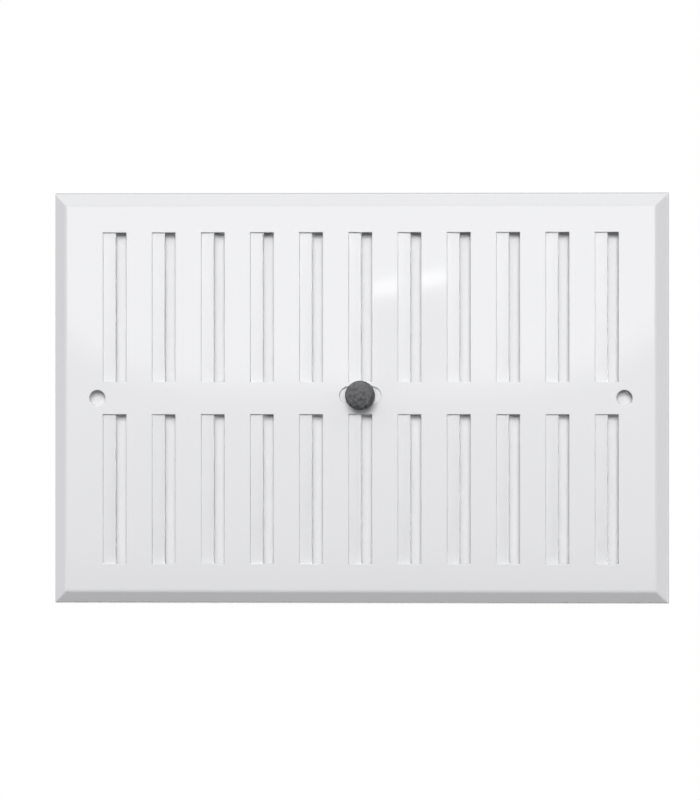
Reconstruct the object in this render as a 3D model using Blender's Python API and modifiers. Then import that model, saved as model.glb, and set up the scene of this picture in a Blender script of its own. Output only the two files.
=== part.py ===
"""Adjustable hit-and-miss ventilation grille: a bevelled face plate with a sliding slotted shutter behind it.

Frame: metres, +Z up, +X to the right seen from the room. The wall plane is Y = 0 and the front faces -Y.
The origin is the middle of the plate on the wall plane. The shutter slides along X, and is modelled half open.
"""
import math

import bmesh
import bpy
from mathutils import Matrix, Vector

# Face plate
PLATE_WIDTH = 0.229
PLATE_HEIGHT = 0.153
PLATE_DEPTH = 0.010
WALL_DRAFT = math.radians(5.0)
EDGE_BEVEL = 0.0039
SHEET = 0.0016

# Slots
SLOT_COUNT = 11
SLOT_PITCH = 0.0183
SLOT_WIDTH = 0.00875
SLOT_HEIGHT = 0.0556
ROW_PITCH = 0.0676

# Wall fixings
FIXING_SPACING = 0.196
FIXING_DIAMETER = 0.006

# Clearance between neighbouring solids
GAP = 0.0003

# Shutter
SHUTTER_SHEET = 0.0015
SHUTTER_HALF_LENGTH = 0.1031
SHUTTER_HALF_HEIGHT = 0.0646
SHUTTER_SLOT_WIDTH = 0.0085
SHUTTER_SLOT_EXTRA = 0.0007
REST_COVER = 0.00465
SHUTTER_CORNER = 0.0015
# End notches that clear the wall screws, with their inner corners rounded
NOTCH_HALF_HEIGHT = 0.0034
NOTCH_START = 0.0898
NOTCH_CORNER = 0.00323

# The travel is half a pitch, and the shutter rests in the middle of it
HALF_TRAVEL = SLOT_PITCH / 4.0
STOP_CLEARANCE = 0.00008

# Rails and their seats
RAIL_SHEET = 0.0014
RAIL_HALF_LENGTH = 0.1005
RAIL_INNER_Z = 0.0625
RAIL_OUTER_Z = 0.0702
RAIL_CORNER = 0.0030
SEAT_INNER_Z = 0.0651
SEAT_OUTER_Z = 0.0699
SEAT_HALF_LENGTH = 0.1010
RAIL_SCREW_PITCH = 0.0460
RAIL_SCREWS_PER_RAIL = 5
RAIL_SCREW_Z = 0.0675
RAIL_SCREW_SHANK = 0.0020
RAIL_SCREW_HOLE = 0.0026
RAIL_SCREW_HEAD = 0.0042
RAIL_SCREW_HEAD_HEIGHT = 0.0013
RAIL_SCREW_RECESS_SPAN = 0.0022
RAIL_SCREW_RECESS_WIDTH = 0.0005
RAIL_SCREW_SKIN = 0.0009

# Gussets between the rail seats and the long walls, each ending inside the wall's own sheet
GUSSET_THICKNESS = 0.0012
GUSSET_SPACING = 2.0 * SLOT_PITCH
GUSSET_BACK = -0.0030
GUSSET_TOP = PLATE_HEIGHT / 2.0 - 0.8 * SHEET

# Knob and its stack, whose axis is a little above the plate's middle
KNOB_RISE = 0.0010
KNOB_DIAMETER = 0.011
KNOB_HEIGHT = 0.009
KNOB_EDGE = 0.0006
KNOB_EDGE_STEPS = 5
KNOB_BASE_CHAMFER = 0.0003
KNOB_BORE = 0.0058
KNOB_BORE_DEPTH = 0.0059
SLIP_WASHER_DIAMETER = 0.0098
SLIP_WASHER_SHEET = 0.0005
BUSH_DIAMETER = 0.0061
BUSH_BORE = 0.0036
GUIDE_SLOT_HEIGHT = 0.0065
INSERT_DIAMETER = 0.0052
INSERT_BORE = 0.0035
INSERT_LENGTH = 0.0050
REAR_WASHER_DIAMETER = 0.0086
REAR_WASHER_SHEET = 0.0006
WAVE_WASHER_DIAMETER = 0.0078
WAVE_WASHER_SHEET = 0.00035
WAVE_HEIGHT = 0.00015
KNOB_SCREW_SHANK = 0.0029
KNOB_SCREW_HEAD = 0.0056
KNOB_SCREW_HEAD_HEIGHT = 0.0016
KNOB_SCREW_RECESS_SPAN = 0.0031
KNOB_SCREW_RECESS_WIDTH = 0.0007
KNOB_SCREW_REACH = 0.0118

# Pan head screws, as shares of the head's height
HEAD_SHOULDER = 0.45
HEAD_RECESS_DEPTH = 0.6
HEAD_CROWN_SPREAD = 1.1
HEAD_CROWN_STEPS = 4
SCREW_TIP_CHAMFER = 0.0003

# Levels along Y, from the front of the knob's stack to the back
FACE_FRONT = -PLATE_DEPTH
FACE_BACK = FACE_FRONT + SHEET
SHUTTER_FRONT = FACE_BACK + GAP
SHUTTER_BACK = SHUTTER_FRONT + SHUTTER_SHEET
RAIL_FRONT = SHUTTER_BACK + GAP
RAIL_BACK = RAIL_FRONT + RAIL_SHEET
SLIP_WASHER_FRONT = FACE_FRONT - GAP - SLIP_WASHER_SHEET
KNOB_BASE = SLIP_WASHER_FRONT - GAP
REAR_WASHER_FRONT = SHUTTER_BACK + GAP
WAVE_FRONT = REAR_WASHER_FRONT + REAR_WASHER_SHEET + GAP
HEAD_FRONT = WAVE_FRONT + WAVE_WASHER_SHEET + 2.0 * WAVE_HEIGHT + GAP

MERGE = 0.00001
CUT_OVERSHOOT = 0.002
ROUND_STEPS = 40
SMALL_ROUND_STEPS = 16
CORNER_STEPS = 6
SLOT_END_STEPS = 10
# A bevel of exactly half the height would leave edges of no length
SLOT_END_SHARE = 0.999


def clear_scene():
    for obj in list(bpy.data.objects):
        bpy.data.objects.remove(obj, do_unlink=True)


def new_collection(name):
    collection = bpy.data.collections.new(name)
    bpy.context.scene.collection.children.link(collection)
    return collection


def make_material(name, colour, roughness, metallic=0.0):
    material = bpy.data.materials.new(name)
    material.use_nodes = True
    shader = material.node_tree.nodes["Principled BSDF"]
    shader.inputs["Base Color"].default_value = (*colour, 1.0)
    shader.inputs["Roughness"].default_value = roughness
    shader.inputs["Metallic"].default_value = metallic
    material.diffuse_color = (*colour, 1.0)
    return material


def add_part(name, mesh, material, parent=None):
    obj = bpy.data.objects.new(name, mesh)
    mesh.materials.clear()
    mesh.materials.append(material)
    PARTS.objects.link(obj)
    obj.parent = parent
    return obj


def add_cutter(name, mesh):
    obj = bpy.data.objects.new(name, mesh)
    CUTTERS.objects.link(obj)
    obj.hide_render = True
    obj.display_type = "WIRE"
    return obj


def add_boolean(obj, tool, operation="DIFFERENCE"):
    modifier = obj.modifiers.new(tool.name, "BOOLEAN")
    modifier.operation = operation
    modifier.solver = "EXACT"
    modifier.object = tool


def mesh_from(bm, name):
    mesh = bpy.data.meshes.new(name)
    bm.to_mesh(mesh)
    bm.free()
    return mesh


def add_block(bm, low, high):
    """Add a box to bm between two corners and return its vertices."""
    low = Vector(low)
    high = Vector(high)
    place = Matrix.Translation((low + high) / 2.0) @ Matrix.Diagonal((*(high - low), 1.0))
    return bmesh.ops.create_cube(bm, size=1.0, matrix=place)["verts"]


def add_rod(bm, x, z, y_front, y_back, diameter, segments):
    """Add a cylinder to bm along Y."""
    turn = Matrix.Rotation(math.radians(90.0), 4, "X")
    place = Matrix.Translation((x, (y_front + y_back) / 2.0, z)) @ turn
    bmesh.ops.create_cone(bm, cap_ends=True, segments=segments, radius1=diameter / 2.0,
                          radius2=diameter / 2.0, depth=y_back - y_front, matrix=place)


def smooth(mesh, angle=math.radians(35.0)):
    mesh.shade_smooth()
    mesh.set_sharp_from_angle(angle=angle)


def slot_centres():
    for row in (-0.5, 0.5):
        for column in range(SLOT_COUNT):
            x = (column - (SLOT_COUNT - 1) / 2.0) * SLOT_PITCH
            yield x, row * ROW_PITCH


def slot_cutter(name, width, height, shift, y_front, y_back):
    bm = bmesh.new()
    for x, z in slot_centres():
        add_block(bm, (x + shift - width / 2.0, y_front, z - height / 2.0),
                  (x + shift + width / 2.0, y_back, z + height / 2.0))
    return add_cutter(name, mesh_from(bm, name))


def rail_screw_places():
    for side in (1.0, -1.0):
        for number in range(RAIL_SCREWS_PER_RAIL):
            x = (number - (RAIL_SCREWS_PER_RAIL - 1) / 2.0) * RAIL_SCREW_PITCH
            yield x, side * RAIL_SCREW_Z


def arc_points(centre_r, centre_h, radius, start, end, count):
    """Points of an arc in a turned profile, as (radius, height)."""
    points = []
    for step in range(count + 1):
        angle = math.radians(start + (end - start) * step / count)
        points.append((centre_r + radius * math.cos(angle), centre_h + radius * math.sin(angle)))
    return points


def turned_mesh(name, profile, ring=False, steps=ROUND_STEPS):
    """Turn a profile of (radius, height) about the local Z axis, and stand that axis along -Y."""
    bm = bmesh.new()
    verts = [bm.verts.new((radius, 0.0, height)) for radius, height in profile]
    for first, second in zip(verts, verts[1:]):
        bm.edges.new((first, second))
    if ring:
        bm.edges.new((verts[-1], verts[0]))
    obj = bpy.data.objects.new(name + "_profile", mesh_from(bm, name + "_profile"))
    CUTTERS.objects.link(obj)
    screw = obj.modifiers.new("turn", "SCREW")
    screw.axis = "Z"
    screw.steps = steps
    screw.render_steps = steps
    screw.use_merge_vertices = True
    screw.merge_threshold = MERGE
    mesh = bpy.data.meshes.new_from_object(obj.evaluated_get(bpy.context.evaluated_depsgraph_get()))
    mesh.name = name
    bpy.data.objects.remove(obj, do_unlink=True)
    mesh.transform(Matrix.Rotation(math.radians(90.0), 4, "X"))
    smooth(mesh)
    return mesh


def washer_mesh(name, outer, bore, thickness, steps=ROUND_STEPS):
    """A flat ring from height 0 to its thickness."""
    profile = [(outer / 2.0, thickness), (outer / 2.0, 0.0), (bore / 2.0, 0.0), (bore / 2.0, thickness)]
    return turned_mesh(name, profile, ring=True, steps=steps)


def cross_recess(name, span, width, depth):
    """Cutter for a cross recess, going in from height 0 towards the front."""
    bm = bmesh.new()
    add_block(bm, (-span / 2.0, -depth, -width / 2.0), (span / 2.0, CUT_OVERSHOOT, width / 2.0))
    upright = bmesh.new()
    add_block(upright, (-width / 2.0, -depth, -span / 2.0), (width / 2.0, CUT_OVERSHOOT, span / 2.0))
    bar = add_cutter(name + "_bar", mesh_from(upright, name + "_bar"))
    cross = add_cutter(name, mesh_from(bm, name))
    add_boolean(cross, bar, "UNION")
    return cross


def screw_mesh(name, shank, shank_length, head, head_height, recess_span, recess_width):
    """Pan head screw: the head's underside is at Y = 0, the shank runs to -Y and the head to +Y."""
    shank_radius = shank / 2.0
    shoulder = head_height * HEAD_SHOULDER
    profile = [(0.0, shank_length), (shank_radius - SCREW_TIP_CHAMFER, shank_length),
               (shank_radius, shank_length - shank_radius), (shank_radius, 0.0),
               (head / 2.0, 0.0), (head / 2.0, -shoulder)]
    crown = head_height - shoulder
    for step in range(1, HEAD_CROWN_STEPS + 1):
        angle = math.radians(90.0 * step / HEAD_CROWN_STEPS)
        radius = head / 2.0 - (1.0 - math.cos(angle)) * crown * HEAD_CROWN_SPREAD
        profile.append((radius, -shoulder - crown * math.sin(angle)))
    profile.append((0.0, -head_height))
    blank = bpy.data.objects.new(name + "_blank", turned_mesh(name, profile, steps=SMALL_ROUND_STEPS))
    CUTTERS.objects.link(blank)
    recess = cross_recess(name + "_recess", recess_span, recess_width,
                          head_height * HEAD_RECESS_DEPTH)
    recess.location.y = head_height
    add_boolean(blank, recess)
    bpy.context.view_layer.update()
    mesh = bpy.data.meshes.new_from_object(blank.evaluated_get(bpy.context.evaluated_depsgraph_get()))
    mesh.name = name
    bpy.data.objects.remove(blank, do_unlink=True)
    return mesh


def plate_shell():
    """Front and side walls of the plate as an open box with drafted walls and a bevelled front edge."""
    bm = bmesh.new()
    spread = math.tan(WALL_DRAFT)
    skirt = CUT_OVERSHOOT
    verts = add_block(bm, (-1.0, -PLATE_DEPTH, -1.0), (1.0, skirt, 1.0))
    for vert in verts:
        inset = -vert.co.y * spread
        vert.co.x = math.copysign(PLATE_WIDTH / 2.0 - inset, vert.co.x)
        vert.co.z = math.copysign(PLATE_HEIGHT / 2.0 - inset, vert.co.z)
    back = [face for face in bm.faces if face.calc_center_median().y > skirt / 2.0]
    bmesh.ops.delete(bm, geom=back, context="FACES_ONLY")
    front = [edge for edge in bm.edges if all(vert.co.y < -PLATE_DEPTH / 2.0 for vert in edge.verts)]
    bmesh.ops.bevel(bm, geom=front, offset=EDGE_BEVEL, segments=1, affect="EDGES", profile=0.5)
    bmesh.ops.recalc_face_normals(bm, faces=bm.faces)
    if next(face for face in bm.faces if abs(face.normal.y) > 0.99).normal.y > 0.0:
        bmesh.ops.reverse_faces(bm, faces=bm.faces)
    return mesh_from(bm, "face_plate")


def rail_seats():
    """Two long seats on the back of the plate that the rails are screwed to."""
    bm = bmesh.new()
    for side in (1.0, -1.0):
        z_near, z_far = sorted((side * SEAT_INNER_Z, side * SEAT_OUTER_Z))
        add_block(bm, (-SEAT_HALF_LENGTH, FACE_BACK - GAP, z_near), (SEAT_HALF_LENGTH, SHUTTER_BACK, z_far))
    return add_cutter("rail_seats", mesh_from(bm, "rail_seats"))


def wall_gussets():
    """Upright stiffeners between each rail seat and the long wall beside it."""
    bm = bmesh.new()
    count = int(SEAT_HALF_LENGTH / GUSSET_SPACING)
    low_y = FACE_BACK - GAP
    for side in (1.0, -1.0):
        for number in range(-count, count + 1):
            x = number * GUSSET_SPACING
            piece = bmesh.new()
            add_block(piece, (x - GUSSET_THICKNESS / 2.0, low_y, RAIL_OUTER_Z + GAP),
                      (x + GUSSET_THICKNESS / 2.0, GUSSET_BACK, GUSSET_TOP))
            for edge in list(piece.edges):
                if all(vert.co.z > GUSSET_TOP - MERGE and vert.co.y < low_y + MERGE for vert in edge.verts):
                    bmesh.ops.bevel(piece, geom=[edge], offset=EDGE_BEVEL, segments=1, affect="EDGES")
                    break
            if side < 0.0:
                bmesh.ops.transform(piece, matrix=Matrix.Rotation(math.pi, 4, "Y"), verts=piece.verts)
            spare = mesh_from(piece, "gusset")
            bm.from_mesh(spare)
            bpy.data.meshes.remove(spare)
    return add_cutter("wall_gussets", mesh_from(bm, "wall_gussets"))


def plate_cuts():
    """Cutter for the fixing holes and the pilot holes for the rail screws."""
    bm = bmesh.new()
    front = FACE_FRONT - CUT_OVERSHOOT
    back = FACE_BACK + CUT_OVERSHOOT
    for side in (-1.0, 1.0):
        add_rod(bm, side * FIXING_SPACING / 2.0, 0.0, front, back, FIXING_DIAMETER, ROUND_STEPS)
    for x, z in rail_screw_places():
        add_rod(bm, x, z, FACE_FRONT + RAIL_SCREW_SKIN, back, RAIL_SCREW_HOLE, SMALL_ROUND_STEPS)
    return add_cutter("plate_holes", mesh_from(bm, "plate_holes"))


def guide_slot():
    """Cutter for the knob's slot: a block with its ends rounded to half its height."""
    bm = bmesh.new()
    half_length = HALF_TRAVEL + BUSH_DIAMETER / 2.0 + STOP_CLEARANCE
    half_height = GUIDE_SLOT_HEIGHT / 2.0
    add_block(bm, (-half_length, FACE_FRONT - CUT_OVERSHOOT, KNOB_RISE - half_height),
              (half_length, FACE_BACK + CUT_OVERSHOOT, KNOB_RISE + half_height))
    ends = [edge for edge in bm.edges if abs(edge.verts[0].co.y - edge.verts[1].co.y) > SHEET]
    bmesh.ops.bevel(bm, geom=ends, offset=half_height * SLOT_END_SHARE, segments=SLOT_END_STEPS,
                    affect="EDGES", profile=0.5)
    return add_cutter("guide_slot", mesh_from(bm, "guide_slot"))


def room_behind_wall():
    """Everything behind the wall plane, cut away so that the rim is flat."""
    bm = bmesh.new()
    add_block(bm, (-PLATE_WIDTH, 0.0, -PLATE_HEIGHT), (PLATE_WIDTH, PLATE_DEPTH, PLATE_HEIGHT))
    return add_cutter("behind_wall_plane", mesh_from(bm, "behind_wall_plane"))


def build_face_plate(material):
    plate = add_part("face_plate", plate_shell(), material)
    shell = plate.modifiers.new("sheet", "SOLIDIFY")
    shell.thickness = SHEET
    shell.offset = -1.0
    shell.use_even_offset = True
    add_boolean(plate, rail_seats(), "UNION")
    add_boolean(plate, wall_gussets(), "UNION")
    add_boolean(plate, slot_cutter("face_slots", SLOT_WIDTH, SLOT_HEIGHT, 0.0,
                                   FACE_FRONT - CUT_OVERSHOOT, FACE_BACK + CUT_OVERSHOOT))
    add_boolean(plate, plate_cuts())
    add_boolean(plate, guide_slot())
    add_boolean(plate, room_behind_wall())
    return plate


def build_shutter(material, parent):
    bm = bmesh.new()
    add_block(bm, (-SHUTTER_HALF_LENGTH, SHUTTER_FRONT, -SHUTTER_HALF_HEIGHT),
              (SHUTTER_HALF_LENGTH, SHUTTER_BACK, SHUTTER_HALF_HEIGHT))
    corners = [edge for edge in bm.edges if abs(edge.verts[0].co.y - edge.verts[1].co.y) > MERGE]
    bmesh.ops.bevel(bm, geom=corners, offset=SHUTTER_CORNER, segments=CORNER_STEPS, affect="EDGES", profile=0.5)
    shutter = add_part("shutter_plate", mesh_from(bm, "shutter_plate"), material, parent)

    front = SHUTTER_FRONT - CUT_OVERSHOOT
    back = SHUTTER_BACK + CUT_OVERSHOOT
    # A shutter slot's left edge stands REST_COVER inside each face slot, which is mid-travel
    shift = REST_COVER + (SHUTTER_SLOT_WIDTH - SLOT_WIDTH) / 2.0
    height = SLOT_HEIGHT + 2.0 * SHUTTER_SLOT_EXTRA
    add_boolean(shutter, slot_cutter("shutter_slots", SHUTTER_SLOT_WIDTH, height, shift, front, back))

    cuts = bmesh.new()
    add_rod(cuts, 0.0, KNOB_RISE, front, back, BUSH_DIAMETER + 2.0 * GAP, ROUND_STEPS)
    for side in (-1.0, 1.0):
        low, high = sorted((side * NOTCH_START, side * (SHUTTER_HALF_LENGTH + CUT_OVERSHOOT)))
        verts = add_block(cuts, (low, front, -NOTCH_HALF_HEIGHT), (high, back, NOTCH_HALF_HEIGHT))
        inner = side * NOTCH_START
        edges = [edge for edge in cuts.edges if all(
            vert in verts and abs(vert.co.x - inner) < MERGE for vert in edge.verts)]
        rounded = [edge for edge in edges if abs(edge.verts[0].co.y - edge.verts[1].co.y) > MERGE]
        bmesh.ops.bevel(cuts, geom=rounded, offset=NOTCH_CORNER, segments=CORNER_STEPS, affect="EDGES",
                        profile=0.5)
    add_boolean(shutter, add_cutter("shutter_holes", mesh_from(cuts, "shutter_holes")))
    return shutter


def build_rail(name, side, material):
    z_near, z_far = sorted((side * RAIL_INNER_Z, side * RAIL_OUTER_Z))
    bm = bmesh.new()
    add_block(bm, (-RAIL_HALF_LENGTH, RAIL_FRONT, z_near), (RAIL_HALF_LENGTH, RAIL_BACK, z_far))
    corners = [edge for edge in bm.edges if abs(edge.verts[0].co.y - edge.verts[1].co.y) > MERGE]
    bmesh.ops.bevel(bm, geom=corners, offset=RAIL_CORNER, segments=CORNER_STEPS, affect="EDGES", profile=0.5)
    rail = add_part(name, mesh_from(bm, name), material)
    holes = bmesh.new()
    for x, z in rail_screw_places():
        if z * side > 0.0:
            add_rod(holes, x, z, RAIL_FRONT - CUT_OVERSHOOT, RAIL_BACK + CUT_OVERSHOOT, RAIL_SCREW_HOLE,
                    SMALL_ROUND_STEPS)
    add_boolean(rail, add_cutter(name + "_holes", mesh_from(holes, name + "_holes")))
    return rail


def build_rail_screws(material):
    reach = RAIL_BACK - (FACE_FRONT + RAIL_SCREW_SKIN)
    mesh = screw_mesh("rail_screw", RAIL_SCREW_SHANK, reach, RAIL_SCREW_HEAD, RAIL_SCREW_HEAD_HEIGHT,
                      RAIL_SCREW_RECESS_SPAN, RAIL_SCREW_RECESS_WIDTH)
    for number, (x, z) in enumerate(rail_screw_places(), start=1):
        screw = add_part(f"rail_screw_{number}", mesh, material)
        screw.location = (x, RAIL_BACK + GAP, z)


def build_knob(material, parent):
    radius = KNOB_DIAMETER / 2.0
    profile = [(0.0, KNOB_HEIGHT)]
    profile += arc_points(radius - KNOB_EDGE, KNOB_HEIGHT - KNOB_EDGE, KNOB_EDGE, 90.0, 0.0, KNOB_EDGE_STEPS)
    profile += [(radius, KNOB_BASE_CHAMFER), (radius - KNOB_BASE_CHAMFER, 0.0), (KNOB_BORE / 2.0, 0.0)]
    profile += [(KNOB_BORE / 2.0, KNOB_BORE_DEPTH), (0.0, KNOB_BORE_DEPTH)]
    knob = add_part("knob", turned_mesh("knob", profile), material, parent)
    knob.location.y = KNOB_BASE
    return knob


def build_knob_stack(plastic, brass, steel, parent):
    slip = washer_mesh("slip_washer", SLIP_WASHER_DIAMETER, BUSH_DIAMETER + 2.0 * GAP, SLIP_WASHER_SHEET)
    add_part("slip_washer", slip, plastic, parent).location.y = FACE_FRONT - GAP

    bush_length = SHUTTER_BACK - (KNOB_BASE + GAP)
    bush = washer_mesh("slide_bush", BUSH_DIAMETER, BUSH_BORE, bush_length)
    add_part("slide_bush", bush, plastic, parent).location.y = SHUTTER_BACK

    groove = INSERT_DIAMETER / 2.0 - GAP
    half = INSERT_LENGTH / 2.0
    profile = [(INSERT_DIAMETER / 2.0, INSERT_LENGTH), (INSERT_DIAMETER / 2.0, half + GAP), (groove, half + GAP),
               (groove, half - GAP), (INSERT_DIAMETER / 2.0, half - GAP), (INSERT_DIAMETER / 2.0, 0.0),
               (INSERT_BORE / 2.0, 0.0), (INSERT_BORE / 2.0, INSERT_LENGTH)]
    insert = turned_mesh("knob_insert", profile, ring=True)
    add_part("knob_insert", insert, brass, parent).location.y = KNOB_BASE - GAP

    rear = washer_mesh("rear_washer", REAR_WASHER_DIAMETER, BUSH_BORE, REAR_WASHER_SHEET)
    add_part("rear_washer", rear, steel, parent).location.y = REAR_WASHER_FRONT + REAR_WASHER_SHEET

    wave = washer_mesh("wave_washer", WAVE_WASHER_DIAMETER, BUSH_BORE + GAP, WAVE_WASHER_SHEET)
    for vert in wave.vertices:
        vert.co.y += WAVE_HEIGHT * math.cos(3.0 * math.atan2(vert.co.z, vert.co.x))
    add_part("wave_washer", wave, steel, parent).location.y = WAVE_FRONT + WAVE_WASHER_SHEET + WAVE_HEIGHT

    screw = screw_mesh("knob_screw", KNOB_SCREW_SHANK, KNOB_SCREW_REACH, KNOB_SCREW_HEAD,
                       KNOB_SCREW_HEAD_HEIGHT, KNOB_SCREW_RECESS_SPAN, KNOB_SCREW_RECESS_WIDTH)
    add_part("knob_screw", screw, steel, parent).location.y = HEAD_FRONT


def build_grille():
    white = make_material("gloss_white_plastic", (0.84, 0.84, 0.86), 0.22)
    shutter_white = make_material("satin_white_plastic", (0.86, 0.86, 0.88), 0.35)
    grey = make_material("dark_grey_plastic", (0.13, 0.13, 0.135), 0.7)
    nylon = make_material("natural_nylon", (0.78, 0.77, 0.72), 0.45)
    brass = make_material("brass", (0.75, 0.55, 0.25), 0.35, 1.0)
    zinc = make_material("zinc_plated_steel", (0.66, 0.67, 0.69), 0.35, 1.0)

    slide = bpy.data.objects.new("shutter_slide", None)
    PARTS.objects.link(slide)
    knob_axis = bpy.data.objects.new("knob_axis", None)
    PARTS.objects.link(knob_axis)
    knob_axis.parent = slide
    knob_axis.location.z = KNOB_RISE

    build_face_plate(white)
    build_shutter(shutter_white, slide)
    build_rail("guide_rail_top", 1.0, zinc)
    build_rail("guide_rail_bottom", -1.0, zinc)
    build_rail_screws(zinc)
    build_knob(grey, knob_axis)
    build_knob_stack(nylon, brass, zinc, knob_axis)


clear_scene()
PARTS = new_collection("hit_and_miss_grille")
CUTTERS = new_collection("cutters")
build_grille()
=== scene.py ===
"""Looks for an adjustable hit-and-miss ventilation grille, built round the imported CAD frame.

Metres, +Z up. The plate's front faces -Y. The shutter, the knob and the knob's stack ride on "shutter".
The face plate and the shutter are quad grids with their slots left out, thickened and rounded. Round holes
are then cut with flared cutters, so their rims are rounded too.
"""
import math

import bmesh
import bpy
from mathutils import Matrix, Vector


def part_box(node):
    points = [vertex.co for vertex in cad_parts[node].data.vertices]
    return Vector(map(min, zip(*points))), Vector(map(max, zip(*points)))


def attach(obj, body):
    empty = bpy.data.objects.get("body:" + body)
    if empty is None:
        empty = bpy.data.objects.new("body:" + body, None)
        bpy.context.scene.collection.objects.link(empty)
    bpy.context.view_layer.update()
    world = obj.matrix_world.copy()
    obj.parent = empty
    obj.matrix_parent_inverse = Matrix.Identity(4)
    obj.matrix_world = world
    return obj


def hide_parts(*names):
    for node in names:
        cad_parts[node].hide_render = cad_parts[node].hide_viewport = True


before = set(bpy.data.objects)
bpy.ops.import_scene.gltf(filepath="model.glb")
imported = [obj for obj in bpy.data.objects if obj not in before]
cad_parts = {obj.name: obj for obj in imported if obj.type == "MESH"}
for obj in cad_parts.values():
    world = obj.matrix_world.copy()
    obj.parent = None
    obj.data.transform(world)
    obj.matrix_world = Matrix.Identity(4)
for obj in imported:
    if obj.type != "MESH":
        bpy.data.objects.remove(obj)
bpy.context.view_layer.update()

# Distances below this count as nothing
MERGE = 0.000002

# Places read from the frame
PLATE_LOW, PLATE_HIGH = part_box("face_plate")
SHUTTER_LOW, SHUTTER_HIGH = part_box("shutter_plate")
KNOB_LOW, KNOB_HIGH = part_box("knob")
BUSH_LOW, BUSH_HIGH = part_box("slide_bush")
FACE_Y = PLATE_LOW.y
WALL_Y = PLATE_HIGH.y
SHUTTER_FRONT = SHUTTER_LOW.y
SHUTTER_BACK = SHUTTER_HIGH.y
KNOB_Z = (KNOB_LOW.z + KNOB_HIGH.z) / 2.0

# Face plate
SHEET = 0.0016
WALL_DRAFT = math.radians(5.0)
EDGE_BEVEL = 0.0039
SLOT_COUNT = 11
SLOT_PITCH = 0.0183
SLOT_WIDTH = 0.00875
SLOT_HEIGHT = 0.0556
ROW_PITCH = 0.0676
FIXING_SPACING = 0.196
FIXING_RADIUS = 0.0030
GUIDE_SLOT_HALF_HEIGHT = 0.00325
GUIDE_SLOT_HALF_STRAIGHT = 0.004455
HOLE_BACK_FLARE = 0.0002

# Rail seats, gussets, rails and screws
SEAT_INNER_Z = 0.0651
SEAT_OUTER_Z = 0.0699
SEAT_HALF_LENGTH = 0.1010
SEAT_ROUND = 0.00035
GUSSET_THICKNESS = 0.0012
GUSSET_SPACING = 2.0 * SLOT_PITCH
GUSSETS_EACH_WAY = 2
GUSSET_BACK = -0.0030
GUSSET_INNER_Z = 0.0705
GUSSET_OUTER_Z = PLATE_HIGH.z - 0.8 * SHEET
RAIL_CORNER = 0.0030
RAIL_EDGE_ROUND = 0.0002
RAIL_SCREWS = 10
RAIL_SCREW_HOLE = 0.0013
RAIL_HOLE_FLARE = 0.0002
PILOT_SKIN = 0.0009
PILOT_HOLE_FLARE = 0.00015
RAIL_SCREW_TURN = 37.0
KNOB_SCREW_TURN = 22.0
SHARP_ANGLE = math.radians(40.0)

# Pan head screws: lengths, and shares of the shank's radius, the thread's pitch and the head's height
THREAD_CREST = 0.00002
THREAD_RUNOUT = 0.0002
THREAD_DEPTH_SHARE = 0.28
TIP_RADIUS_SHARE = 0.55
TIP_LENGTH_SHARE = 0.6
HEAD_EDGE = 0.0001
HEAD_SHOULDER_SHARE = 0.32
HEAD_ROUND_SHARE = 1.25
DOME_EDGE_DROP = 0.00008
DOME_MIDWAY_DROP = 0.00003
RECESS_DEPTH_SHARE = 0.62

# Shutter
SHUTTER_SHEET = 0.0015
SHUTTER_SLOT_WIDTH = 0.0085
SHUTTER_SLOT_EXTRA = 0.0007
REST_COVER = 0.00465
SHUTTER_SHIFT = REST_COVER + (SHUTTER_SLOT_WIDTH - SLOT_WIDTH) / 2.0
SHUTTER_CORNER = 0.0015
NOTCH_START = 0.0898
NOTCH_RADIUS = 0.0034
SHUTTER_CLEARANCE = 0.0003
SHUTTER_HOLE_FLARE = 0.0002
EJECTOR_RADIUS = 0.0021
EJECTOR_DEPTH = 0.00012
EJECTOR_FLARE = 0.00005

# Knob: radius and depth of its socket, and the fine shape of its outside
KNOB_BORE = 0.0029
KNOB_BORE_DEPTH = 0.0059
KNOB_CHAMFER = 0.00070
KNOB_CROWN = 0.00020
KNOB_DRAFT = 0.00028
KNOB_BASE = 0.0003
KNOB_EDGE_ROUND = 0.00014

# Insert, and the bores of the rings on the knob screw
INSERT_BORE = 0.00175
INSERT_GROOVE = 0.0004
INSERT_TEETH = 30
TOOTH_DEPTH = 0.00009
SLIP_WASHER_BORE = 0.00335
SCREW_CLEAR_BORE = 0.0018
WAVE_WASHER_BORE = 0.00195
WAVE_HEIGHT = 0.00015

# Rounding of the plate's edges: a width, and the share of it that each kind of edge takes
EDGE_WIDTH = 0.00075
ROUND_SHARES = {
    ("flat", "slope"): 1.0,
    ("slope", "slope"): 0.7,
    ("slope", "wall"): 0.45,
    ("wall", "wall"): 0.3,
    ("flat", "wall"): 0.22,
}
HIDDEN_SHARE = 0.22
MIN_ROUND_ANGLE = math.radians(20.0)
SHUTTER_FRONT_ROUND = 0.00032
SHUTTER_OTHER_ROUND = 0.00018

# Cutters for round holes: how far the front rim flares, and how far the cutter reaches past each face
RIM_FLARE = 0.00025
CUTTER_OVERSHOOT = 0.002

# Colours and roughness. Peel is the strength of the bumps, the painted light fade is the knob's change of
# tone per metre of height, painted so that its top looks lit from above, and grain is a noise scale for each
# axis.
FACE_WHITE = (0.80, 0.80, 0.815)
FACE_ROUGHNESS = (0.045, 0.070)
FACE_PEEL = 0.06
SHUTTER_WHITE = (0.755, 0.755, 0.77)
SHUTTER_ROUGHNESS = (0.16, 0.24)
SHUTTER_PEEL = 0.12
KNOB_GREY = (0.125, 0.125, 0.130)
KNOB_DARK = (0.043, 0.043, 0.045)
KNOB_PALE = (0.178, 0.178, 0.182)
# Painted light: how fast the knob's tone rises with height, so its top reads as lit from above
KNOB_PAINTED_LIGHT_FADE = 32.0
RAIL_GRAIN = (60.0, 2000.0, 2500.0)
SCREW_GRAIN = (900.0, 900.0, 900.0)
FLOOR_COLOUR = (0.86, 0.86, 0.87)

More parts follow.
